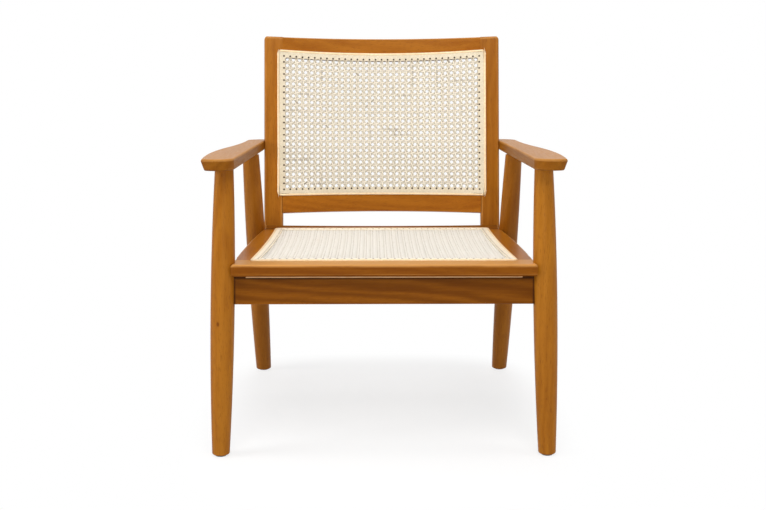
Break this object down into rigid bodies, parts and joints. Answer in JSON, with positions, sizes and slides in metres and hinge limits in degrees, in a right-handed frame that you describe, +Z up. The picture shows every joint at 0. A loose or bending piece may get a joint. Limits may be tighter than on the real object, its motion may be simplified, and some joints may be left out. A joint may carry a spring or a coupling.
{
  "type": "cane armchair",
  "caption": "Low wooden armchair with turned legs, flat curved armrests and cane webbing panels in a gently sloping seat and a curved, reclined back.",
  "frame": {"origin": "on the floor, under the middle of the chair's outline", "axes": "+X to the right as seen from the front, +Y towards the back, +Z up"},
  "size_m": [0.6852, 0.6836, 0.7955],
  "materials": {
    "honey_wood": "satin lacquer over honey-brown hardwood",
    "cane_weave": "natural cane webbing, satin",
    "cane_trim": "pale reed, satin",
    "inner_wood": "plain sanded wood",
    "screw_steel": "zinc-plated",
    "insert_brass": "plain",
    "glide_plastic": "matt"
  },
  "bodies": {
    "root": {"arm_dowels": "inner_wood", "arm_screw_plugs": "honey_wood", "arm_screws": "screw_steel", "armrest_left": "honey_wood", "armrest_right": "honey_wood", "back_bolt_inserts": "insert_brass", "back_bolts": "screw_steel", "back_cane_binding": "cane_trim", "back_cane_frame": "inner_wood", "back_cane_webbing": "cane_weave", "back_edge_bead": "cane_trim", "back_frame_dowels": "inner_wood", "back_lower_rail": "honey_wood", "back_panel_screws": "screw_steel", "back_stile_left": "honey_wood", "back_stile_right": "honey_wood", "back_top_rail": "honey_wood", "corner_block_front_left": "inner_wood", "corner_block_front_right": "inner_wood", "corner_block_rear_left": "inner_wood", "corner_block_rear_right": "inner_wood", "foot_glides": "glide_plastic", "front_apron": "honey_wood", "front_apron_dowels": "inner_wood", "front_leg_left": "honey_wood", "front_leg_right": "honey_wood", "rear_apron": "honey_wood", "rear_apron_dowels": "inner_wood", "rear_leg_left": "honey_wood", "rear_leg_right": "honey_wood", "seat_cane_binding": "cane_trim", "seat_cane_frame": "inner_wood", "seat_cane_webbing": "cane_weave", "seat_edge_bead": "cane_trim", "seat_fixing_screws": "screw_steel", "seat_frame_dowels": "inner_wood", "seat_front_rail": "honey_wood", "seat_front_reed": "cane_trim", "seat_panel_screws": "screw_steel", "seat_rear_rail": "honey_wood", "seat_side_rail_left": "honey_wood", "seat_side_rail_right": "honey_wood", "side_apron_dowels": "inner_wood", "side_apron_left": "honey_wood", "side_apron_right": "honey_wood"}
  },
  "joints": []
}
